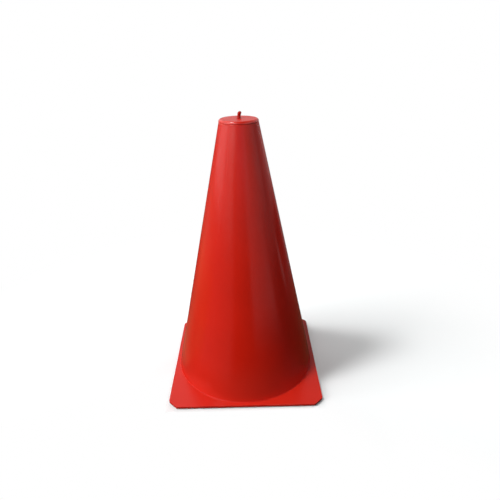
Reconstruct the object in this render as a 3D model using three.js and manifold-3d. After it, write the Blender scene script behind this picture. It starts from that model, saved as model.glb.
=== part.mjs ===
// Marker cone for sports pitches: a thin square base plate with cut corners, a hollow cone
// that stands in the plate's round opening, a flat cap that plugs the cone's mouth, and the
// small gate stub that moulding leaves in the middle of the cap.
// Millimetres, +Z up. The origin is the centre of the plate's underside, on the ground.

import * as THREE from 'three';
import { mergeVertices } from 'three/addons/utils/BufferGeometryUtils.js';
import Module from 'manifold-3d';

// Driving dimensions, in millimetres.
const HEIGHT = 230; // ground to the cap's flat top
const FOOT_DIAMETER = 126.7; // outside of the cone, carried down to the plate's top face
const CROWN_DIAMETER = 31.5; // outside of the cone at its top edge
const WALL = 1.5; // cone wall, measured square to its surface
const FIT_CLEARANCE = 0.3; // gap left between a spigot and its seat

const FOOT_FILLET = 0.4; // radius of the hollow fillet round the cone's foot
const FOOT_EDGE = 0.1; // thickness of the fillet's outer edge, on the plate
const TONGUE_LENGTH = 0.6; // how far the cone's foot reaches down into the plate

const PLATE_LIP = 0.8; // plate left under the cone's foot
const PLATE_MARGIN = 3.1; // plate showing outside the foot, at the middle of each side
const CORNER_CUT = 7.4; // leg of the cut across each corner
const CORNER_ROUND = 1.2; // length of edge taken up by the rounding of each point

const CAP_FLOOR = 1.1; // cap left under the stub's socket
const CAP_ROUND = 1.9; // radius of the cap's upper edge
const CAP_OVERHANG = 0.05; // how far the cap stands proud of the cone's wall
const SEAM_CHAMFER = 0.25; // bevel under the cap, which shows as a fine seam
const SPIGOT_LENGTH = 4; // ring under the cap that plugs the cone's mouth
const SPIGOT_WALL = 1.2;

const SHANK_DIAMETER = 2.4; // stub's root, in the cap
const SHANK_LENGTH = 1;
const STUB_FLARE = 0.5; // height and reach of the stub's spread foot
const STUB_EDGE = 0.1; // thickness of that foot's outer edge
const STUB_DIAMETER = 3.1; // shaft, just above the foot
const STUB_SHAFT = 2.5; // length from the foot to the neck
const NECK_DIAMETER = 2.4;
const HEAD_DIAMETER = 2.5; // blunt tip, where the gate was twisted off
const HEAD_SHOULDER = 0.8; // from the neck to the widest part of the tip
const HEAD_DOME = 1.5; // from there to the top
const STUB_LEAN = 1.1; // how far the tip leans towards +X
const STUB_BEND = 1.5; // power of the height that the lean follows; 1 is straight

// Fineness of the round forms.
const ROUND_SIDES = 72;
const STUB_SIDES = 20;
const ARC_STEPS = 4;

const PLASTIC_RED = 0xd22a1f;
const PLASTIC_ROUGHNESS = 0.42;

// Levels and radii that the pieces share.
const plateTop = PLATE_LIP + FIT_CLEARANCE + TONGUE_LENGTH;
const tongueBottom = plateTop - TONGUE_LENGTH;
const socketDepth = SHANK_LENGTH + FIT_CLEARANCE;
const socketRadius = SHANK_DIAMETER / 2 + FIT_CLEARANCE;
const crownTop = HEIGHT - CAP_FLOOR - socketDepth;
const footRadius = FOOT_DIAMETER / 2;
const crownRadius = CROWN_DIAMETER / 2;
const taper = (footRadius - crownRadius) / (crownTop - plateTop);
const slantRatio = Math.hypot(1, taper);
const outerRadius = (z) => footRadius - taper * (z - plateTop);
const innerRadius = (z) => outerRadius(z) - WALL * slantRatio;

// The foot's fillet is tangent to the cone's wall, and its lowest point is its outer edge.
const filletLevel = plateTop + FOOT_EDGE + FOOT_FILLET;
const filletReach = outerRadius(filletLevel) + FOOT_FILLET * slantRatio;

const wasm = await Module();
wasm.setup();

// Points [radius, height] along an arc in the profile plane, with angles in degrees.
function arc(centre, radius, from, to) {
  return Array.from({ length: ARC_STEPS + 1 }, (_, i) => {
    const angle = THREE.MathUtils.degToRad(THREE.MathUtils.lerp(from, to, i / ARC_STEPS));
    return [centre[0] + radius[0] * Math.cos(angle), centre[1] + radius[1] * Math.sin(angle)];
  });
}

// A solid of revolution about +Z. The profile runs anticlockwise, seen with the axis on the left.
function turned(profile, sides = ROUND_SIDES) {
  const points = profile.map(([radius, height]) => new THREE.Vector2(radius, height));
  return new THREE.LatheGeometry(points, sides).rotateX(Math.PI / 2);
}

function solidOf(geometry) {
  const bare = geometry.clone().deleteAttribute('normal').deleteAttribute('uv');
  const merged = mergeVertices(bare);
  return new wasm.Manifold(new wasm.Mesh({
    numProp: 3,
    vertProperties: merged.getAttribute('position').array,
    triVerts: merged.index.array,
  }));
}

function geometryOf(solid) {
  const mesh = solid.getMesh();
  const geometry = new THREE.BufferGeometry();
  geometry.setAttribute('position', new THREE.BufferAttribute(mesh.vertProperties, 3));
  geometry.setIndex(new THREE.BufferAttribute(mesh.triVerts, 1));
  geometry.computeVertexNormals();
  return geometry;
}

// Square outline with a straight cut across each corner, and every point slightly rounded.
function plateOutline() {
  const half = filletReach + PLATE_MARGIN;
  const inner = half - CORNER_CUT;
  const points = [
    [inner, -half], [half, -inner], [half, inner], [inner, half],
    [-inner, half], [-half, inner], [-half, -inner], [-inner, -half],
  ].map(([x, y]) => new THREE.Vector2(x, y));
  const towards = (from, to) => to.clone().sub(from).setLength(CORNER_ROUND).add(from);
  const outline = new THREE.Shape();
  points.forEach((point, i) => {
    const before = towards(point, points.at(i - 1));
    const after = towards(point, points[(i + 1) % points.length]);
    if (i === 0) outline.moveTo(before.x, before.y);
    else outline.lineTo(before.x, before.y);
    outline.quadraticCurveTo(point.x, point.y, after.x, after.y);
  });
  return outline;
}

// Flat plate with a stepped round opening: a seat for the cone's tongue, over a lip that is
// flush with the cone's inner wall.
function basePlate() {
  const sheet = new THREE.ExtrudeGeometry(plateOutline(), {
    depth: plateTop,
    bevelEnabled: false,
    curveSegments: ARC_STEPS,
  });
  const holeRadius = innerRadius(tongueBottom);
  const seatRadius = footRadius + FIT_CLEARANCE;
  const opening = turned([
    [0, -WALL],
    [holeRadius, -WALL],
    [holeRadius, PLATE_LIP],
    [seatRadius, PLATE_LIP],
    [seatRadius, plateTop + WALL],
    [0, plateTop + WALL],
  ]);
  return geometryOf(solidOf(sheet).subtract(solidOf(opening)));
}

// Hollow cone, open at both ends. Its foot spreads in a small fillet that rests on the plate,
// over a tongue that locates it in the plate's seat.
function coneShell() {
  const wallAngle = THREE.MathUtils.radToDeg(Math.atan(taper));
  return turned([
    [innerRadius(tongueBottom), tongueBottom],
    [footRadius, tongueBottom],
    [footRadius, plateTop],
    [filletReach, plateTop],
    ...arc([filletReach, filletLevel], [FOOT_FILLET, FOOT_FILLET], 270, 180 + wallAngle),
    [crownRadius, crownTop],
    [innerRadius(crownTop), crownTop],
    [innerRadius(tongueBottom), tongueBottom],
  ]);
}

// Flat cap with a rounded upper edge, a bevel along its seam, a ring that plugs the cone's
// mouth and a blind socket for the stub.
function topCap() {
  const spigotRadius = innerRadius(crownTop) - FIT_CLEARANCE;
  const spigotBottom = crownTop - SPIGOT_LENGTH;
  const edgeRadius = crownRadius + CAP_OVERHANG;
  const round = Math.min(CAP_ROUND, HEIGHT - crownTop - SEAM_CHAMFER);
  return turned([
    [0, crownTop],
    [spigotRadius - SPIGOT_WALL, crownTop],
    [spigotRadius - SPIGOT_WALL, spigotBottom],
    [spigotRadius, spigotBottom],
    [spigotRadius, crownTop],
    [edgeRadius - SEAM_CHAMFER, crownTop],
    [edgeRadius, crownTop + SEAM_CHAMFER],
    ...arc([edgeRadius - round, HEIGHT - round], [round, round], 0, 90),
    [socketRadius, HEIGHT],
    [socketRadius, HEIGHT - socketDepth],
    [0, HEIGHT - socketDepth],
  ]);
}

// Gate stub: a shank in the cap's socket, a spread foot on the cap, a tapering shaft and a
// blunt tip. Above the cap it curves over towards +X.
function gateStub() {
  const shaftRadius = STUB_DIAMETER / 2;
  const flareReach = shaftRadius + STUB_FLARE;
  const flareLevel = HEIGHT + STUB_EDGE + STUB_FLARE;
  const neckLevel = flareLevel + STUB_SHAFT;
  const headLevel = neckLevel + HEAD_SHOULDER;
  const tipLevel = headLevel + HEAD_DOME;
  const straight = turned([
    [0, HEIGHT - SHANK_LENGTH],
    [SHANK_DIAMETER / 2, HEIGHT - SHANK_LENGTH],
    [SHANK_DIAMETER / 2, HEIGHT],
    [flareReach, HEIGHT],
    ...arc([flareReach, flareLevel], [STUB_FLARE, STUB_FLARE], 270, 180),
    [NECK_DIAMETER / 2, neckLevel],
    ...arc([0, headLevel], [HEAD_DIAMETER / 2, HEAD_DOME], 0, 90),
  ], STUB_SIDES);
  const position = straight.getAttribute('position');
  for (let i = 0; i < position.count; i++) {
    const rise = Math.max(0, position.getZ(i) - HEIGHT) / (tipLevel - HEIGHT);
    position.setX(i, position.getX(i) + STUB_LEAN * rise ** STUB_BEND);
  }
  straight.computeVertexNormals();
  return straight;
}

function plasticPiece(name, geometry) {
  const mesh = new THREE.Mesh(geometry, new THREE.MeshStandardMaterial({
    color: PLASTIC_RED,
    roughness: PLASTIC_ROUGHNESS,
    metalness: 0,
  }));
  mesh.name = name;
  return mesh;
}

const markerCone = new THREE.Group();
markerCone.name = 'marker_cone';
markerCone.add(
  plasticPiece('base_plate', basePlate()),
  plasticPiece('cone_shell', coneShell()),
  plasticPiece('top_cap', topCap()),
  plasticPiece('gate_stub', gateStub()),
);

export default markerCone;
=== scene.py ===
"""Looks of a red marker cone: a moulded base plate, a hollow cone, a flat cap and its gate stub.

The file is laid out as a Blender add-on and is run as a script. All sizes are in metres, in the
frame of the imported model: +Z up, with the origin at the centre of the plate's underside.
"""

import math

import bmesh
import bpy
from bpy.props import FloatProperty, FloatVectorProperty, IntProperty, PointerProperty
from mathutils import Matrix, Vector


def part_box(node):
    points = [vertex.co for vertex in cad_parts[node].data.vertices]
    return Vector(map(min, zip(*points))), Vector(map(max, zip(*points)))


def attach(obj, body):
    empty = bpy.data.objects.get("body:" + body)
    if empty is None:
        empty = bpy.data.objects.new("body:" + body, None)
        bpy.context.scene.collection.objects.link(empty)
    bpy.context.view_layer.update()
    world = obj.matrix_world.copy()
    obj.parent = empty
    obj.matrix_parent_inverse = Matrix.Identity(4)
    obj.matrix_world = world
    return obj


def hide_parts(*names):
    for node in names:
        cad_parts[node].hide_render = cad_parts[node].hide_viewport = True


bl_info = {
    "name": "Marker Cone",
    "version": (1, 0, 0),
    "blender": (4, 5, 0),
    "location": "View3D > Sidebar > Marker Cone",
    "description": "Models a moulded marker cone and a plain studio around it",
    "category": "Object",
}

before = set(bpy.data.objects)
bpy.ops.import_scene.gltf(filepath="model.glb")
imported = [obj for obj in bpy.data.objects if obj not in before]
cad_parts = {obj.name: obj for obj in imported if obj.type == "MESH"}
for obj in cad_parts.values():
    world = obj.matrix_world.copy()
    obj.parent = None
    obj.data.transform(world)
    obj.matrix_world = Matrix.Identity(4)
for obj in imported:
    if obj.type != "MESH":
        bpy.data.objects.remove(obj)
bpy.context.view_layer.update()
PLATE_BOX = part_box("base_plate")
SHELL_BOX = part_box("cone_shell")
CAP_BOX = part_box("top_cap")
STUB_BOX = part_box("gate_stub")

MM = 0.001

# Names of the finished pieces
PLATE = "moulded_plate"
CONE = "moulded_cone"
CAP = "moulded_cap"
STUB = "moulded_stub"


# Settings

class ConeSizes(bpy.types.PropertyGroup):
    """Sizes of the four pieces."""

    sides: IntProperty(
        name="Sides", description="Facets round the cone, the cap and the plate's opening",
        default=240, min=24)
    plate_half: FloatProperty(
        name="Plate half width", description="From the axis to the middle of a side",
        default=PLATE_BOX[1].x, unit="LENGTH")
    plate_top: FloatProperty(
        name="Plate thickness", description="From the ground to the plate's top face",
        default=PLATE_BOX[1].z, unit="LENGTH")
    plate_lip: FloatProperty(
        name="Plate lip", description="Plate left under the cone's foot",
        default=0.8 * MM, unit="LENGTH")
    plate_edge: FloatProperty(
        name="Plate edge", description="Rounding of the plate's edges",
        default=0.35 * MM, unit="LENGTH")
    corner_cut: FloatProperty(
        name="Corner cut", description="Leg of the cut across each corner",
        default=7.4 * MM, unit="LENGTH")
    corner_round: FloatProperty(
        name="Corner rounding", description="Length of edge that the rounding of each point takes",
        default=1.2 * MM, unit="LENGTH")
    fit_gap: FloatProperty(
        name="Fit gap", description="Gap between a spigot and its seat",
        default=0.3 * MM, unit="LENGTH")
    foot_radius: FloatProperty(
        name="Foot radius", description="Outside of the cone at the plate's top face",
        default=63.35 * MM, unit="LENGTH")
    foot_reach: FloatProperty(
        name="Foot reach", description="Outer edge of the fillet round the foot",
        default=SHELL_BOX[1].x, unit="LENGTH")
    foot_edge: FloatProperty(
        name="Foot edge", description="Thickness of the fillet's outer edge",
        default=0.1 * MM, unit="LENGTH")
    tongue_bottom: FloatProperty(
        name="Tongue bottom", description="Lowest level of the cone, in the plate's seat",
        default=SHELL_BOX[0].z, unit="LENGTH")
    crown_radius: FloatProperty(
        name="Crown radius", description="Outside of the cone at its upper edge",
        default=15.75 * MM, unit="LENGTH")
    crown_top: FloatProperty(
        name="Crown level", description="Level of the cone's upper edge",
        default=SHELL_BOX[1].z, unit="LENGTH")
    crown_edge: FloatProperty(
        name="Crown edge", description="Rounding of the cone's upper edge",
        default=0.2 * MM, unit="LENGTH")
    wall: FloatProperty(
        name="Wall", description="Thickness of the cone, square to its surface",
        default=1.5 * MM, unit="LENGTH")
    cap_radius: FloatProperty(
        name="Cap radius", description="Widest part of the cap",
        default=CAP_BOX[1].x, unit="LENGTH")
    cap_top: FloatProperty(
        name="Cap level", description="Level of the cap's flat top",
        default=CAP_BOX[1].z, unit="LENGTH")
    cap_round: FloatProperty(
        name="Cap rounding", description="Radius of the cap's upper edge",
        default=1.9 * MM, unit="LENGTH")
    seam: FloatProperty(
        name="Seam", description="Bevel under the cap, along the seam",
        default=0.25 * MM, unit="LENGTH")
    seam_round: FloatProperty(
        name="Seam rounding", description="Rounding of the cap's side, above that bevel",
        default=0.15 * MM, unit="LENGTH")
    spigot_bottom: FloatProperty(
        name="Spigot bottom", description="Lowest level of the ring that plugs the cone",
        default=CAP_BOX[0].z, unit="LENGTH")
    spigot_wall: FloatProperty(
        name="Spigot wall", description="Thickness of that ring",
        default=1.2 * MM, unit="LENGTH")
    spigot_edge: FloatProperty(
        name="Spigot edge", description="Rounding of that ring's lower edges",
        default=0.2 * MM, unit="LENGTH")
    stub_sides: IntProperty(
        name="Stub sides", description="Facets round the gate stub",
        default=48, min=12)
    stub_bottom: FloatProperty(
        name="Stub bottom", description="Lowest level of the stub, in the cap",
        default=STUB_BOX[0].z, unit="LENGTH")
    stub_tip: FloatProperty(
        name="Stub tip", description="Highest level of the stub",
        default=STUB_BOX[1].z, unit="LENGTH")
    shank_radius: FloatProperty(
        name="Shank radius", description="Stub's root, in the cap's socket",
        default=1.2 * MM, unit="LENGTH")
    stub_radius: FloatProperty(
        name="Stub radius", description="Stub just above its spread foot",
        default=1.55 * MM, unit="LENGTH")
    stub_flare: FloatProperty(
        name="Stub flare", description="Height and reach of the stub's spread foot",
        default=0.5 * MM, unit="LENGTH")
    stub_edge: FloatProperty(
        name="Stub edge", description="Thickness of the spread foot's rim",
        default=0.1 * MM, unit="LENGTH")
    neck_radius: FloatProperty(
        name="Neck radius", description="Thinnest part of the stub",
        default=1.35 * MM, unit="LENGTH")
    neck_drop: FloatProperty(
        name="Neck drop", description="From the stub's tip down to its neck",
        default=2.6 * MM, unit="LENGTH")
    neck_round: FloatProperty(
        name="Neck rounding", description="Rounding of the neck, and of the head's widest part",
        default=0.3 * MM, unit="LENGTH")
    head_radius: FloatProperty(
        name="Head radius", description="Widest part of the stub's blunt head",
        default=1.5 * MM, unit="LENGTH")
    head_drop: FloatProperty(
        name="Head drop", description="From the stub's tip down to the widest part of its head",
        default=1.9 * MM, unit="LENGTH")
    stub_lean: FloatProperty(
        name="Stub lean", description="How far the stub's tip leans towards +X",
        default=1.1 * MM, unit="LENGTH")
    stub_bend: FloatProperty(
        name="Stub bend", description="Power of the height that the lean follows; 1 is straight",
        default=1.1, min=1)


class ConeFinish(bpy.types.PropertyGroup):
    """Colours and surface of the plastic."""

    red: FloatVectorProperty(
        name="Red", description="Pigment of the plastic",
        subtype="COLOR", size=3, min=0, max=1, default=(0.63, 0.012, 0.003))
    worn_red: FloatVectorProperty(
        name="Worn red", description="Paler colour of rubbed edges and scuffs",
        subtype="COLOR", size=3, min=0, max=1, default=(0.70, 0.075, 0.055))
    gloss_roughness: FloatProperty(
        name="Roughness", description="Roughness of the moulded skin",
        subtype="FACTOR", min=0, max=1, default=0.2)
    reflection: FloatProperty(
        name="Reflection", description="Specular level of the moulded skin",
        subtype="FACTOR", min=0, max=1, default=0.25)


class StudioSettings(bpy.types.PropertyGroup):
    """Camera, floor and light."""

    lens: FloatProperty(
        name="Lens", description="Focal length in millimetres on a 36 mm sensor",
        default=33.03, min=1)
    aim_height: FloatProperty(
        name="Aim height", description="Level on the cone's axis that the camera is measured from",
        default=115 * MM, unit="LENGTH")
    distance: FloatProperty(
        name="Distance", description="From that point to the camera, along the view",
        default=404.52 * MM, unit="LENGTH")
    slide_right: FloatProperty(
        name="Slide right", description="How far the camera stands to the right",
        default=6.66 * MM, unit="LENGTH")
    slide_up: FloatProperty(
        name="Slide up", description="How far the camera stands above the line of view",
        default=1.88 * MM, unit="LENGTH")
    pitch: FloatProperty(
        name="Pitch", description="How far the camera looks down",
        default=math.radians(25.04), unit="ROTATION")
    roll: FloatProperty(
        name="Roll", description="Turn of the camera about its own view",
        default=math.radians(-1.256), unit="ROTATION")
    orbit: FloatProperty(
        name="Orbit", description="Turn of the camera about the cone's axis",
        default=math.radians(-0.2), unit="ROTATION")
    light_level: FloatProperty(
        name="Light level", description="Strength of all the lamps together",
        default=1.0, min=0)
    floor_size: FloatProperty(
        name="Floor size", description="Side of the square floor",
        default=12, unit="LENGTH")
    floor_drop: FloatProperty(
        name="Floor drop", description="Gap under the plate, which shows as a dark line of contact",
        default=1.0 * MM, unit="LENGTH")
    floor_tone: FloatVectorProperty(
        name="Floor", description="Colour of the matt floor, as the camera sees it",
        subtype="COLOR", size=3, min=0, max=1, default=(0.946, 0.97, 0.97))
    floor_bounce: FloatProperty(
        name="Floor bounce", description="Grey level of the floor in the light that it sends back",
        subtype="FACTOR", min=0, max=1, default=0.03)


# Modelling by hand, in edit mode

SAME_PLACE = 1e-6  # points nearer to each other than this are taken as one
ARC_STEPS = 6  # facets in the rounding of a profile or an outline
EDGE_STEPS = 4  # facets in the plate's soft edges
SOFTENED_ANGLE = math.radians(40)  # the plate's edges that turn more than this are softened
SHARP_ANGLE = math.radians(35)  # the shading breaks where faces turn more than this


def deselect_everything():
    bpy.ops.object.select_all(action="DESELECT")


def select_points(piece, wanted):
    """Selects the vertices whose place passes a test."""
    bpy.ops.mesh.select_mode(type="VERT")
    bpy.ops.mesh.select_all(action="DESELECT")
    mesh = bmesh.from_edit_mesh(piece.data)
    for point in mesh.verts:
        if wanted(point.co):
            point.select_set(True)
    mesh.select_flush_mode()
    bmesh.update_edit_mesh(piece.data)


def select_open_edges(piece, wanted):
    """Selects the edges of one face only whose two ends pass a test."""
    bpy.ops.mesh.select_mode(type="EDGE")
    bpy.ops.mesh.select_all(action="DESELECT")
    mesh = bmesh.from_edit_mesh(piece.data)
    for edge in mesh.edges:
        if edge.is_boundary and all(wanted(point.co) for point in edge.verts):
            edge.select_set(True)
    bmesh.update_edit_mesh(piece.data)


def extrude_loop(drop=0.0, scale=1.0):
    """Extrudes the selected loop downwards, or in its own plane towards the axis."""
    bpy.ops.mesh.extrude_edges_move(TRANSFORM_OT_translate={"value": (0, 0, -drop)})
    bpy.ops.transform.resize(value=(scale, scale, 1), center_override=(0, 0, 0))


def close_mesh():
    """Merges doubles, points every face outwards and leaves edit mode."""
    bpy.ops.mesh.select_mode(type="VERT")
    bpy.ops.mesh.select_all(action="SELECT")
    bpy.ops.mesh.remove_doubles(threshold=SAME_PLACE)
    bpy.ops.mesh.delete_loose()
    bpy.ops.mesh.select_all(action="SELECT")
    bpy.ops.mesh.normals_make_consistent(inside=False)
    bpy.ops.object.mode_set(mode="OBJECT")


def apply_modifier(piece, kind, **settings):
    modifier = piece.modifiers.new(kind.title(), kind)
    for name, value in settings.items():
        setattr(modifier, name, value)
    bpy.ops.object.modifier_apply(modifier=modifier.name)


def smooth(piece):
    """Smooth shading that keeps flat faces flat beside their rounded edges."""
    bpy.ops.object.shade_smooth_by_angle(angle=SHARP_ANGLE)
    apply_modifier(piece, "WEIGHTED_NORMAL", keep_sharp=True)


def turned_piece(name, corners, sides, closed=False):
    """Spins a profile about the vertical axis. A corner is (radius, height, rounding): the
    rounding is the length that an arc takes off both edges that meet there."""
    deselect_everything()
    bpy.ops.mesh.primitive_plane_add(size=MM)
    piece = bpy.context.object
    piece.name = piece.data.name = name
    bpy.ops.object.mode_set(mode="EDIT")
    bpy.ops.mesh.select_all(action="SELECT")
    bpy.ops.mesh.merge(type="CENTER")
    places = [Vector((radius, 0, height)) for radius, height, _ in corners]
    bpy.ops.transform.translate(value=places[0])
    for place, following in zip(places, places[1:]):
        bpy.ops.mesh.extrude_vertices_move(TRANSFORM_OT_translate={"value": following - place})
    if closed:
        ends = (places[0], places[-1])
        select_points(piece, lambda co: any((co - end).length < SAME_PLACE for end in ends))
        bpy.ops.mesh.edge_face_add()
    for place, (_, _, rounding) in zip(places, corners):
        if rounding:
            select_points(piece, lambda co: (co - place).length < SAME_PLACE)
            bpy.ops.mesh.bevel(offset=rounding, segments=ARC_STEPS, affect="VERTICES")
    bpy.ops.mesh.select_all(action="SELECT")
    bpy.ops.mesh.spin(
        steps=sides, angle=math.tau, center=(0, 0, 0), axis=(0, 0, 1), use_auto_merge=True)
    close_mesh()
    return piece


def dress(piece, node, material):
    """Puts a finished piece in place of its solid."""
    piece.data.materials.append(material)
    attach(piece, "root")
    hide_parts(node)


# Shapes that the pieces share

def wall_taper(sizes):
    return (sizes.foot_radius - sizes.crown_radius) / (sizes.crown_top - sizes.plate_top)


def outer_radius(sizes, level):
    return sizes.foot_radius - wall_taper(sizes) * (level - sizes.plate_top)


def inner_radius(sizes, level):
    return outer_radius(sizes, level) - sizes.wall * math.hypot(1, wall_taper(sizes))


# Node trees

class Value:
    """A number that varies over a surface. Python's operators on it add Math nodes."""

    def __init__(self, finish, socket):
        self.finish = finish
        self.socket = socket

    def math(self, operation, first, second):
        return self.finish.node("ShaderNodeMath", {"operation": operation}, {0: first, 1: second})

    def __add__(self, other):
        return self.math("ADD", self, other)

    def __radd__(self, other):
        return self.math("ADD", other, self)

    def __sub__(self, other):
        return self.math("SUBTRACT", self, other)

    def __rsub__(self, other):
        return self.math("SUBTRACT", other, self)

    def __mul__(self, other):
        return self.math("MULTIPLY", self, other)

    def __rmul__(self, other):
        return self.math("MULTIPLY", other, self)

    def __truediv__(self, other):
        return self.math("DIVIDE", self, other)

    def __abs__(self):
        return self.math("ABSOLUTE", self, 0)

    def least(self, other):
        return self.math("MINIMUM", self, other)

    def greatest(self, other):
        return self.math("MAXIMUM", self, other)


class Finish:
    """A material's node tree, or the world's."""

    def __init__(self, owner):
        owner.use_nodes = True
        self.tree = owner.node_tree
        self.tree.nodes.clear()

    def node(self, kind, settings=None, sockets=None, output=0):
        """Adds a node: its settings are set first, then its sockets, as numbers or as links."""
        node = self.tree.nodes.new(kind)
        for name, value in (settings or {}).items():
            setattr(node, name, value)
        for name, value in (sockets or {}).items():
            if isinstance(value, Value):
                self.tree.links.new(value.socket, node.inputs[name])
            else:
                node.inputs[name].default_value = value
        return Value(self, node.outputs[output]) if node.outputs else node

    def place(self):
        """Object coordinates, as a vector."""
        return self.node("ShaderNodeTexCoord", output="Object")

    def parts(self, vector):
        """The three parts of a vector."""
        first = self.node("ShaderNodeSeparateXYZ", None, {0: vector})
        outputs = first.socket.node.outputs
        return [Value(self, outputs[axis]) for axis in "XYZ"]

    def scaled(self, vector, factors):
        """A vector with each part multiplied by its own factor."""
        return self.node(
            "ShaderNodeMapping", {"vector_type": "POINT"}, {"Vector": vector, "Scale": factors})

    def direction(self, vector):
        return self.node("ShaderNodeVectorMath", {"operation": "NORMALIZE"}, {0: vector})

    def length(self, vector):
        return self.node("ShaderNodeVectorMath", {"operation": "LENGTH"}, {0: vector}, output="Value")

    def noise(self, vector, size, detail):
        """Soft noise from 0 to 1 whose features are about as wide as size."""
        return self.node(
            "ShaderNodeTexNoise", None, {"Vector": vector, "Scale": 1 / size, "Detail": detail})

    def step(self, value, start, end):
        """0 before start and 1 past end, with a soft rise between them."""
        return self.node(
            "ShaderNodeMapRange", {"interpolation_type": "SMOOTHSTEP"},
            {"Value": value, "From Min": start, "From Max": end})

    def mix(self, factor, first, second):
        """A colour between two colours."""
        return self.node(
            "ShaderNodeMix", {"data_type": "RGBA"}, {0: factor, 6: first, 7: second}, output=2)


def colour(rgb):
    return (*rgb, 1.0)


BLACK = colour((0, 0, 0))
WHITE = colour((1, 1, 1))


# Plastic

MOTTLE_SIZE = 38 * MM  # slow drift of the pigment
MOTTLE_RANGE = (0.965, 1.03)  # its darkest and palest share of the pigment
SMUDGE_SIZE = 11 * MM  # soft marks of handling
PEEL_SIZE = 5 * MM  # gentle waves of the moulded skin
PEEL_HEIGHT = 0.05 * MM
GRAIN_SIZE = 0.55 * MM  # fine texture of the mould
GRAIN_HEIGHT = 0.012 * MM
FLECK_SPACING = 9 * MM  # small scuffs
FLECK_WIDTH = 0.3 * MM
FLECK_HEIGHT = 0.01 * MM
FLECK_SHARE = 0.12


def specks(finish, place, spacing, width, share):
    """Small round flecks in a share of the cells of a loose grid."""
    cells = finish.node(
        "ShaderNodeTexVoronoi", None, {"Vector": place, "Scale": 1 / spacing})
    tint = Value(finish, cells.socket.node.outputs["Color"])
    chance = finish.parts(tint)[0]
    dot = 1 - finish.step(cells, 0.5 * width / spacing, width / spacing)
    return dot * finish.step(chance, 1 - share, 1 - share + 0.01)


def moulded_plastic(
        name, look, wear_mask, streak_place, haze_mask, added_worn_mask, depth=1.0, shine=1.0):
    """Satin red plastic. Four functions of a finish and a place shape it: wear_mask gives the rubbed
    edges, streak_place coordinates in which a handling mark is about one unit wide, haze_mask what is
    added to the roughness, and the fourth how much more of the worn colour lies on the pigment,
    making it paler. A depth below 1 darkens the pigment, and shine multiplies the reflection."""
    material = bpy.data.materials.new(name)
    finish = Finish(material)
    place = finish.place()
    mottle = finish.noise(place, MOTTLE_SIZE, detail=3)
    smudge = finish.noise(place, SMUDGE_SIZE, detail=4)
    grain = finish.noise(place, GRAIN_SIZE, detail=2)
    peel = finish.noise(place, PEEL_SIZE, detail=1)
    streaks = finish.noise(streak_place(finish, place), 1.0, detail=3)
    rubbed = finish.step(streaks, 0.62, 0.78) * finish.step(mottle, 0.45, 0.65)
    flecks = specks(finish, place, FLECK_SPACING, FLECK_WIDTH, FLECK_SHARE)
    wear = wear_mask(finish, place) * finish.step(smudge, 0.35, 0.7)
    paler = (0.9 * wear).greatest(0.10 * rubbed).greatest(0.35 * flecks) + added_worn_mask(finish, place)
    dark, light = (colour([share * depth * part for part in look.red]) for share in MOTTLE_RANGE)
    pigment = finish.mix(finish.step(mottle, 0.25, 0.75), dark, light)
    skin = finish.mix(paler, pigment, colour(look.worn_red))
    roughness = look.gloss_roughness + haze_mask(finish, place)
    roughness = roughness + 0.10 * (smudge - 0.5) + 0.10 * rubbed + 0.16 * wear
    height = GRAIN_HEIGHT * grain + PEEL_HEIGHT * peel + FLECK_HEIGHT * flecks
    bump = finish.node("ShaderNodeBump", None, {"Strength": 1.0, "Distance": 1.0, "Height": height})
    surface = finish.node(
        "ShaderNodeBsdfPrincipled", None,
        {"Base Color": skin, "Roughness": roughness, "Normal": bump,
         "Specular IOR Level": shine * look.reflection})
    finish.node("ShaderNodeOutputMaterial", None, {"Surface": surface})
    return material


def no_worn_added(finish, place):
    """Adds none of the worn colour to the pigment."""
    return 0.0


def plate_plastic(sizes, look):
    def edge(finish, place):
        x, y, _ = finish.parts(place)
        side = sizes.plate_half - abs(x).greatest(abs(y))
        cut = (2 * sizes.plate_half - sizes.corner_cut - abs(x) - abs(y)) / math.sqrt(2)
        return 0.4 * (1 - finish.step(side.least(cut), 0.1 * MM, 1.0 * MM))

    def along(finish, place):
        return finish.scaled(place, (320, 60, 60))

    def even(finish, place):
        return 0.12

    return moulded_plastic("moulded_plate_red", look, edge, along, haze_mask=even, added_worn_mask=even)


def cone_plastic(sizes, look):
    def edge(finish, place):
        height = finish.parts(place)[2]
        return finish.step(height, sizes.crown_top - 1.2 * MM, sizes.crown_top)

    def along(finish, place):
        outwards = finish.direction(finish.scaled(place, (1, 1, 0)))
        return finish.node(
            "ShaderNodeVectorMath", {"operation": "MULTIPLY_ADD"},
            {0: outwards, 1: (26, 26, 0), 2: finish.scaled(place, (0, 0, 9))})

    def haze(finish, place):
        height = finish.parts(place)[2] - sizes.plate_top
        return 0.15 * (1 - finish.step(height, 0.5 * MM, 1.5 * MM))

    # Paler towards the foot: a tenth of the worn colour low down, gone by 45 mm up
    def paler_towards_foot(finish, place):
        height = finish.parts(place)[2]
        return 0.1 * (1 - finish.step(height, 10 * MM, 45 * MM))

    return moulded_plastic("moulded_cone_red", look, edge, along, haze, paler_towards_foot)


def cap_plastic(sizes, look):
    def edge(finish, place):
        height = finish.parts(place)[2]
        radius = finish.length(finish.scaled(place, (1, 1, 0)))
        rim = finish.step(radius, sizes.cap_radius - 1.4 * MM, sizes.cap_radius)
        return rim * finish.step(height, sizes.cap_top - 1.4 * MM, sizes.cap_top - 0.4 * MM)

    def along(finish, place):
        return finish.scaled(place, (260, 700, 260))

    def haze(finish, place):
        height = finish.parts(place)[2]
        return 0.1 + 0.14 * finish.step(height, sizes.cap_top - 0.25 * MM, sizes.cap_top)

    return moulded_plastic("moulded_cap_red", look, edge, along, haze, no_worn_added, shine=2.4)


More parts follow.
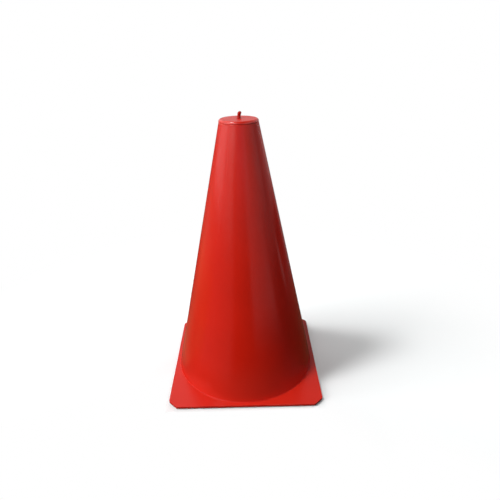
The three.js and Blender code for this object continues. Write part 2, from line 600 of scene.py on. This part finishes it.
def stub_plastic(sizes, look):
    def edge(finish, place):
        height = finish.parts(place)[2]
        return 0.2 * finish.step(height, sizes.stub_tip - 1.2 * MM, sizes.stub_tip)

    def along(finish, place):
        return finish.scaled(place, (900, 900, 120))

    def haze(finish, place):
        return 0.1

    return moulded_plastic("moulded_stub_red", look, edge, along, haze, no_worn_added, depth=0.62, shine=0.6)


# Pieces

class MARKERCONE_OT_plate(bpy.types.Operator):
    """Model the square base plate: cut corners, a stepped round opening and soft edges"""

    bl_idname = "marker_cone.plate"
    bl_label = "Base Plate"
    bl_options = {"REGISTER", "UNDO"}

    def execute(self, context):
        sizes = context.scene.marker_cone_sizes
        seat_radius = sizes.foot_radius + sizes.fit_gap
        hole_radius = inner_radius(sizes, sizes.tongue_bottom)
        level = (0, 0, sizes.plate_top)
        deselect_everything()
        bpy.ops.mesh.primitive_plane_add(size=2 * sizes.plate_half, location=level)
        piece = context.object
        piece.name = piece.data.name = PLATE
        bpy.ops.object.transform_apply(location=True, rotation=False, scale=False)
        bpy.ops.object.mode_set(mode="EDIT")
        bpy.ops.mesh.select_all(action="SELECT")
        bpy.ops.mesh.bevel(offset=sizes.corner_cut, segments=1, affect="VERTICES")
        bpy.ops.mesh.select_all(action="SELECT")
        bpy.ops.mesh.bevel(offset=sizes.corner_round, segments=ARC_STEPS, affect="VERTICES")
        bpy.ops.mesh.delete(type="ONLY_FACE")
        bpy.ops.mesh.primitive_circle_add(vertices=sizes.sides, radius=seat_radius, location=level)
        bpy.ops.mesh.select_all(action="SELECT")
        bpy.ops.mesh.fill(use_beauty=True)
        middle = (seat_radius + sizes.plate_half) / 2
        select_open_edges(piece, lambda co: co.xy.length > middle)
        extrude_loop(drop=sizes.plate_top)
        select_open_edges(piece, lambda co: co.xy.length < middle and co.z > sizes.plate_lip)
        extrude_loop(drop=sizes.plate_top - sizes.plate_lip)
        extrude_loop(scale=hole_radius / seat_radius)
        extrude_loop(drop=sizes.plate_lip)
        select_open_edges(piece, lambda co: co.z < SAME_PLACE)
        bpy.ops.mesh.fill(use_beauty=True)
        close_mesh()
        apply_modifier(
            piece, "BEVEL", width=sizes.plate_edge, segments=EDGE_STEPS, limit_method="ANGLE",
            angle_limit=SOFTENED_ANGLE)
        smooth(piece)
        dress(piece, "base_plate", plate_plastic(sizes, context.scene.marker_cone_finish))
        return {"FINISHED"}


class MARKERCONE_OT_shell(bpy.types.Operator):
    """Model the hollow cone: a thin wall, a fillet round its foot and a tongue in the plate"""

    bl_idname = "marker_cone.shell"
    bl_label = "Cone Shell"
    bl_options = {"REGISTER", "UNDO"}

    def execute(self, context):
        sizes = context.scene.marker_cone_sizes
        fillet_level = sizes.plate_top + sizes.foot_edge
        fillet_corner = outer_radius(sizes, fillet_level)
        fillet = 0.99 * (sizes.foot_reach - fillet_corner)  # just short of the whole edge
        piece = turned_piece(CONE, [
            (inner_radius(sizes, sizes.tongue_bottom), sizes.tongue_bottom, 0),
            (sizes.foot_radius, sizes.tongue_bottom, 0),
            (sizes.foot_radius, sizes.plate_top, 0),
            (sizes.foot_reach, sizes.plate_top, 0),
            (sizes.foot_reach, fillet_level, 0),
            (fillet_corner, fillet_level, fillet),
            (sizes.crown_radius, sizes.crown_top, sizes.crown_edge),
            (inner_radius(sizes, sizes.crown_top), sizes.crown_top, sizes.crown_edge),
        ], sizes.sides, closed=True)
        smooth(piece)
        dress(piece, "cone_shell", cone_plastic(sizes, context.scene.marker_cone_finish))
        return {"FINISHED"}


class MARKERCONE_OT_cap(bpy.types.Operator):
    """Model the cap: a flat top, a rounded rim, a fine seam and the ring that plugs the cone"""

    bl_idname = "marker_cone.cap"
    bl_label = "Top Cap"
    bl_options = {"REGISTER", "UNDO"}

    def execute(self, context):
        sizes = context.scene.marker_cone_sizes
        spigot = inner_radius(sizes, sizes.crown_top) - sizes.fit_gap
        socket = sizes.shank_radius + sizes.fit_gap
        socket_bottom = sizes.stub_bottom - sizes.fit_gap
        piece = turned_piece(CAP, [
            (0, sizes.crown_top, 0),
            (spigot - sizes.spigot_wall, sizes.crown_top, 0),
            (spigot - sizes.spigot_wall, sizes.spigot_bottom, sizes.spigot_edge),
            (spigot, sizes.spigot_bottom, sizes.spigot_edge),
            (spigot, sizes.crown_top, 0),
            (sizes.cap_radius - sizes.seam, sizes.crown_top, 0),
            (sizes.cap_radius, sizes.crown_top + sizes.seam, sizes.seam_round),
            (sizes.cap_radius, sizes.cap_top, sizes.cap_round),
            (socket, sizes.cap_top, 0),
            (socket, socket_bottom, 0),
            (0, socket_bottom, 0),
        ], sizes.sides)
        smooth(piece)
        dress(piece, "top_cap", cap_plastic(sizes, context.scene.marker_cone_finish))
        return {"FINISHED"}


class MARKERCONE_OT_stub(bpy.types.Operator):
    """Model the gate stub: a shank in the cap, a spread foot, a neck and a blunt, bent-over head"""

    bl_idname = "marker_cone.stub"
    bl_label = "Gate Stub"
    bl_options = {"REGISTER", "UNDO"}

    def execute(self, context):
        sizes = context.scene.marker_cone_sizes
        foot_reach = sizes.stub_radius + sizes.stub_flare
        foot_level = sizes.cap_top + sizes.stub_edge
        flare = 0.98 * sizes.stub_flare  # just short of the whole edge, and so is the dome
        dome = 0.95 * sizes.head_radius
        piece = turned_piece(STUB, [
            (0, sizes.stub_bottom, 0),
            (sizes.shank_radius, sizes.stub_bottom, 0),
            (sizes.shank_radius, sizes.cap_top, 0),
            (foot_reach, sizes.cap_top, 0),
            (foot_reach, foot_level, 0),
            (sizes.stub_radius, foot_level, flare),
            (sizes.neck_radius, sizes.stub_tip - sizes.neck_drop, sizes.neck_round),
            (sizes.head_radius, sizes.stub_tip - sizes.head_drop, sizes.neck_round),
            (sizes.head_radius, sizes.stub_tip, dome),
            (0, sizes.stub_tip, 0),
        ], sizes.stub_sides)
        self.lean(piece, sizes)
        smooth(piece)
        dress(piece, "gate_stub", stub_plastic(sizes, context.scene.marker_cone_finish))
        return {"FINISHED"}

    def lean(self, piece, sizes):
        """Slides each ring above the cap towards +X, more and more towards the tip."""
        levels = sorted({round(point.co.z, 7) for point in piece.data.vertices})
        bpy.ops.object.mode_set(mode="EDIT")
        for level in levels:
            rise = (level - sizes.cap_top) / (sizes.stub_tip - sizes.cap_top)
            if rise > 0:
                select_points(piece, lambda co: abs(co.z - level) < SAME_PLACE)
                bpy.ops.transform.translate(value=(sizes.stub_lean * rise ** sizes.stub_bend, 0, 0))
        bpy.ops.object.mode_set(mode="OBJECT")


# Lamps

# Each softbox: the bearing and height of its middle, half of the angles that it spans across
# and up, all in degrees as seen from the cone, its distance in metres, its brightness, and
# whether the plastic mirrors it. Bearing 0 is +X and 90 is +Y.
CONE_LIGHTS = (
    ("key_light", -150, 60, 5, 8, 2.0, 34.0, True),
    ("left_window", -150, 36, 35, 24, 2.0, 1.48, True),
    ("left_reflector", -175, 16, 20, 12, 2.0, 1.15, True),
    ("low_reflector", -160, 8, 45, 4, 2.0, 0.95, True),
    ("front_fill", -135, 34, 29, 11, 0.95, 1.2, True),
    ("high_right_fill", 0, 42, 44, 11, 1.0, 0.78, True),
    ("right_fill", 15, 12, 29, 11, 0.65, 0.2, False),
    ("back_fill", 120, 45, 14, 22, 0.65, 0.57, True),
)
FLOOR_LIGHTS = (
    ("floor_key", -172.2, 62.8, 3.2, 5.4, 2.0, 66.0, True),
    ("floor_window", -162.9, 22.6, 17.1, 10, 2.0, 13.8, True),
    ("floor_right_fill", 30, 40, 50, 20, 0.65, 1.28, True),
    ("floor_back_fill", 110, 15, 44, 14, 2.0, 3.0, True),
)

# Each spot: its place, the point that it faces, half of its angle in degrees, and its power in
# watts. The plastic mirrors none of them.
CONE_SPOTS = (
    ("upper_right_spot", (0.345, 0.289, 0.27), (0, 0, 0.2), 23, 2.4),
    ("upper_front_spot", (0.47, -0.17, 0.3), (0, 0, 0.17), 23, 0.34),
)
SPOT_RADIUS = 80 * MM


def softbox(name, bearing, rise, half_width, half_height, distance, brightness, mirrored, lit):
    """An area lamp that faces the cone's foot and lights one group of objects."""
    bearing, rise = math.radians(bearing), math.radians(rise)
    level = math.cos(rise)
    away = Vector((math.cos(bearing) * level, math.sin(bearing) * level, math.sin(rise)))
    lamp = bpy.data.lights.new(name, "AREA")
    lamp.shape = "RECTANGLE"
    lamp.size = 2 * distance * math.tan(math.radians(half_width))
    lamp.size_y = 2 * distance * math.tan(math.radians(half_height))
    lamp.energy = brightness * lamp.size * lamp.size_y * math.pi
    hang(lamp, away * distance, Vector(), mirrored, lit)


def spot(name, place, aim, half_angle, power, lit):
    """A soft-edged spot lamp for part of the cone."""
    lamp = bpy.data.lights.new(name, "SPOT")
    lamp.energy = power
    lamp.spot_size = math.radians(2 * half_angle)
    lamp.spot_blend = 1.0
    lamp.shadow_soft_size = SPOT_RADIUS
    hang(lamp, Vector(place), Vector(aim), False, lit)


def hang(lamp, place, aim, mirrored, lit):
    """Puts a lamp in its place, facing its aim, unseen by the camera, for one group of objects."""
    holder = bpy.data.objects.new(lamp.name, lamp)
    bpy.context.scene.collection.objects.link(holder)
    holder.location = place
    holder.rotation_euler = (place - aim).to_track_quat("Z", "Y").to_euler()
    holder.visible_camera = False
    holder.visible_glossy = mirrored
    holder.light_linking.receiver_collection = lit


def light_group(name, members):
    """A collection that only says which objects a lamp lights."""
    group = bpy.data.collections.new(name)
    for member in members:
        group.objects.link(member)
    return group


# Floor and room

# Tints of the floor's painted reflection: warm, and a painted brown shade for the cone's shadow
PAINTED_WARM_REFLECTION = colour((1, 0.92, 0.45))
PAINTED_SHADED_REFLECTION = colour((0.85, 0.6, 0.2))


def ray_kinds(finish):
    """1 for a ray from the camera, and 1 for a ray that a glossy or clear surface passes on."""
    camera = finish.node("ShaderNodeLightPath", output="Is Camera Ray")
    kinds = camera.socket.node.outputs
    glossy, clear = (Value(finish, kinds[kind]) for kind in ("Is Glossy Ray", "Is Transmission Ray"))
    return camera, glossy.greatest(clear)


def sector(finish, direction, bearing, full, gone):
    """1 within an angle of a bearing and 0 past a wider one, all in degrees."""
    turn = math.radians(bearing)
    facing = finish.node(
        "ShaderNodeVectorMath", {"operation": "DOT_PRODUCT"},
        {0: direction, 1: (math.cos(turn), math.sin(turn), 0)}, output="Value")
    return finish.step(facing, math.cos(math.radians(gone)), math.cos(math.radians(full)))


def painted_floor_reflection(finish, direction, reach):
    """Painted reflection: how bright the floor glows to glossy rays alone, dim, darkest on the back
    right, with paler patches. A patch fades in between two distances from the axis, in metres."""

    def patch(bearing, full, gone, begins, ends):
        return sector(finish, direction, bearing, full, gone) * finish.step(reach, begins, ends)

    dark = patch(bearing=40, full=36.9, gone=60, begins=0.3, ends=0.42)
    ground = (0.05 + 0.09 * finish.step(reach, 0.3, 0.55)) * (1 - 0.9 * dark)
    front_left = patch(bearing=-145, full=30.7, gone=40.5, begins=0.09, ends=0.17)
    back_left = (
        0.36 * patch(bearing=-170, full=29.5, gone=63.3, begins=0.06, ends=0.085)
        + 0.64 * patch(bearing=-170, full=29.5, gone=63.3, begins=0.12, ends=0.6))
    back_half = sector(finish, direction, bearing=90, full=95.2, gone=105.1)
    front_right = patch(bearing=-48, full=20, gone=28.4, begins=0.15, ends=0.6)
    line = (
        patch(bearing=13, full=1.15, gone=3.14, begins=0.33, ends=0.45)
        - 0.7 * patch(bearing=13, full=1.15, gone=3.14, begins=0.62, ends=0.75))
    far_right = (
        patch(bearing=-5, full=11.5, gone=20, begins=0.5, ends=1.4)
        - 0.6 * patch(bearing=-5, full=11.5, gone=20, begins=1.5, ends=4))
    back_right = patch(bearing=75, full=18.2, gone=31.8, begins=0.15, ends=0.45)
    far_back_right = patch(bearing=38, full=18.2, gone=25.8, begins=0.9, ends=1.4)
    pale = ground.greatest(0.42 * front_left).greatest(0.55 * back_left * back_half)
    pale = pale + 0.6 * front_right + 0.75 * line + 0.4 * far_right
    return pale + 0.15 * back_right + 0.4 * far_back_right


def painted_reflection_tint(finish, direction, reach):
    """Colour of that painted reflection: warm near the cone on the left, and a painted brown shade
    where the cone's shadow lies.
    """
    left = sector(finish, direction, bearing=130, full=18.2, gone=31.8).greatest(
        sector(finish, direction, bearing=170, full=18.2, gone=36.9))
    warm = left * (1 - 0.6 * finish.step(reach, 0.4, 0.9))
    shadow = sector(finish, direction, bearing=20, full=25.8, gone=45.6)
    shadow = shadow * (1 - finish.step(reach, 0.18, 0.35))
    return finish.mix(shadow, finish.mix(warm, WHITE, PAINTED_WARM_REFLECTION), PAINTED_SHADED_REFLECTION)


def plain_white(finish, place, direction, reach):
    """Where the camera sees a plain white floor: far from the cone, and in front of it."""
    x, y, _ = finish.parts(place)
    past_plate = abs(x).greatest(abs(y)) - PLATE_BOX[1].x
    front = sector(finish, direction, bearing=-105, full=53.1, gone=72.5)
    front_right = sector(finish, direction, bearing=-65, full=25.8, gone=38.7)
    far = finish.step(reach, 0.12, 0.35)
    far = far.greatest(front * finish.step(past_plate, 0.5 * MM, 4 * MM))
    return far.greatest(front_right * finish.step(reach, 0.12, 0.17))


def floor_finish(studio):
    """A matt floor that keeps the shadow and turns plain white, and that glows with patches of
    painted reflection which only the plastic shows.
    """
    material = bpy.data.materials.new("matt_floor_with_painted_reflections")
    finish = Finish(material)
    camera, mirrored = ray_kinds(finish)
    place = finish.place()
    direction = finish.direction(place)
    reach = finish.length(place)
    tone = finish.mix(camera, colour([studio.floor_bounce] * 3), colour(studio.floor_tone))
    matt = finish.node("ShaderNodeBsdfDiffuse", None, {"Color": tone})
    # Painted reflection: an emission that only glossy rays see, in patches and tints
    painted_reflection = finish.mix(
        mirrored * painted_floor_reflection(finish, direction, reach), BLACK,
        painted_reflection_tint(finish, direction, reach))
    painted_reflection_glow = finish.node("ShaderNodeEmission", None, {"Color": painted_reflection, "Strength": 1.0})
    near = finish.node("ShaderNodeAddShader", None, {0: matt, 1: painted_reflection_glow})
    white = finish.node("ShaderNodeEmission", None, {"Color": WHITE, "Strength": 1.0})
    plain = camera * plain_white(finish, place, direction, reach)
    surface = finish.node("ShaderNodeMixShader", None, {0: plain, 1: near, 2: white})
    finish.node("ShaderNodeOutputMaterial", None, {"Surface": surface})
    return material


def room_with_painted_reflections(world):
    """A world that is plain white to the camera and that glows, for glossy rays alone, with pale
    patches of painted reflection and a painted cool tint in front; it lights nothing.
    """
    finish = Finish(world)
    camera, mirrored = ray_kinds(finish)
    direction = finish.node("ShaderNodeTexCoord", output="Generated")
    rise = finish.parts(direction)[2]
    right = sector(finish, direction, bearing=-36.5, full=30.7, gone=40.5)
    back = sector(finish, direction, bearing=115, full=49.5, gone=63.3)
    front = sector(finish, direction, bearing=-82, full=14.1, gone=30.7)
    low = 1 - finish.step(rise, 0.3, 0.5)
    # Painted reflection: low all round, brighter on the right and on the back, with a cool tint in
    # front
    low_painted_sheen = low * (0.5 + 0.5 * right)
    back_painted_sheen = back * (0.75 + 0.25 * finish.step(rise, 0.35, 0.55))
    white_and_painted_sheen = camera.greatest(mirrored * low_painted_sheen.greatest(back_painted_sheen))
    cool_painted_sheen = mirrored * low * front * finish.step(rise, 0.04, 0.2)
    tone = finish.node(
        "ShaderNodeCombineColor", None,
        {"Red": white_and_painted_sheen + 0.5 * cool_painted_sheen, "Green": white_and_painted_sheen + 0.7 * cool_painted_sheen, "Blue": white_and_painted_sheen + cool_painted_sheen})
    surface = finish.node("ShaderNodeBackground", None, {"Color": tone, "Strength": 1.0})
    finish.node("ShaderNodeOutputWorld", None, {"Surface": surface})


# Studio

class MARKERCONE_OT_studio(bpy.types.Operator):
    """Set up the camera, a plain pale floor and soft light"""

    bl_idname = "marker_cone.studio"
    bl_label = "Studio"
    bl_options = {"REGISTER", "UNDO"}

    def execute(self, context):
        studio = context.scene.marker_cone_studio
        self.camera(context, studio)
        floor = self.floor(context, studio)
        context.scene.world = bpy.data.worlds.new("room")
        room_with_painted_reflections(context.scene.world)
        pieces = [context.scene.objects[name] for name in (PLATE, CONE, CAP, STUB)]
        self.lamps(studio, light_group("lit_cone", pieces), light_group("lit_floor", [floor]))
        context.scene.view_settings.view_transform = "Standard"
        return {"FINISHED"}

    def camera(self, context, studio):
        lens = bpy.data.cameras.new("camera")
        lens.lens = studio.lens
        lens.clip_start = 10 * MM
        camera = bpy.data.objects.new("camera", lens)
        context.scene.collection.objects.link(camera)
        context.scene.camera = camera
        camera.matrix_world = (
            Matrix.Translation((0, 0, studio.aim_height))
            @ Matrix.Rotation(studio.orbit, 4, "Z")
            @ Matrix.Rotation(math.pi / 2 - studio.pitch, 4, "X")
            @ Matrix.Translation((studio.slide_right, studio.slide_up, studio.distance))
            @ Matrix.Rotation(studio.roll, 4, "Z"))

    def floor(self, context, studio):
        deselect_everything()
        bpy.ops.mesh.primitive_plane_add(size=studio.floor_size, location=(0, 0, -studio.floor_drop))
        floor = context.object
        floor.name = floor.data.name = "floor"
        floor.data.materials.append(floor_finish(studio))
        return floor

    def lamps(self, studio, lit_cone, lit_floor):
        for *place, power in CONE_SPOTS:
            spot(*place, studio.light_level * power, lit_cone)
        for boxes, lit in ((CONE_LIGHTS, lit_cone), (FLOOR_LIGHTS, lit_floor)):
            for *place, brightness, mirrored in boxes:
                softbox(*place, studio.light_level * brightness, mirrored, lit)


# Add-on

GROUPS = {
    "marker_cone_sizes": ConeSizes,
    "marker_cone_finish": ConeFinish,
    "marker_cone_studio": StudioSettings,
}
OPERATORS = (
    MARKERCONE_OT_plate,
    MARKERCONE_OT_shell,
    MARKERCONE_OT_cap,
    MARKERCONE_OT_stub,
    MARKERCONE_OT_studio,
)


class MARKERCONE_PT_panel(bpy.types.Panel):
    """Lists the pieces and their settings"""

    bl_idname = "MARKERCONE_PT_panel"
    bl_label = "Marker Cone"
    bl_space_type = "VIEW_3D"
    bl_region_type = "UI"
    bl_category = "Marker Cone"

    def draw(self, context):
        for operator in OPERATORS:
            self.layout.operator(operator.bl_idname)
        for key, group in GROUPS.items():
            settings = getattr(context.scene, key)
            for name in group.__annotations__:
                self.layout.prop(settings, name)


CLASSES = (*GROUPS.values(), *OPERATORS, MARKERCONE_PT_panel)


def register():
    for member in CLASSES:
        bpy.utils.register_class(member)
    for name, group in GROUPS.items():
        setattr(bpy.types.Scene, name, PointerProperty(type=group))


def unregister():
    for name in GROUPS:
        delattr(bpy.types.Scene, name)
    for member in reversed(CLASSES):
        bpy.utils.unregister_class(member)


def main():
    register()
    bpy.ops.marker_cone.plate()
    bpy.ops.marker_cone.shell()
    bpy.ops.marker_cone.cap()
    bpy.ops.marker_cone.stub()
    bpy.ops.marker_cone.studio()


if __name__ == "__main__":
    main()
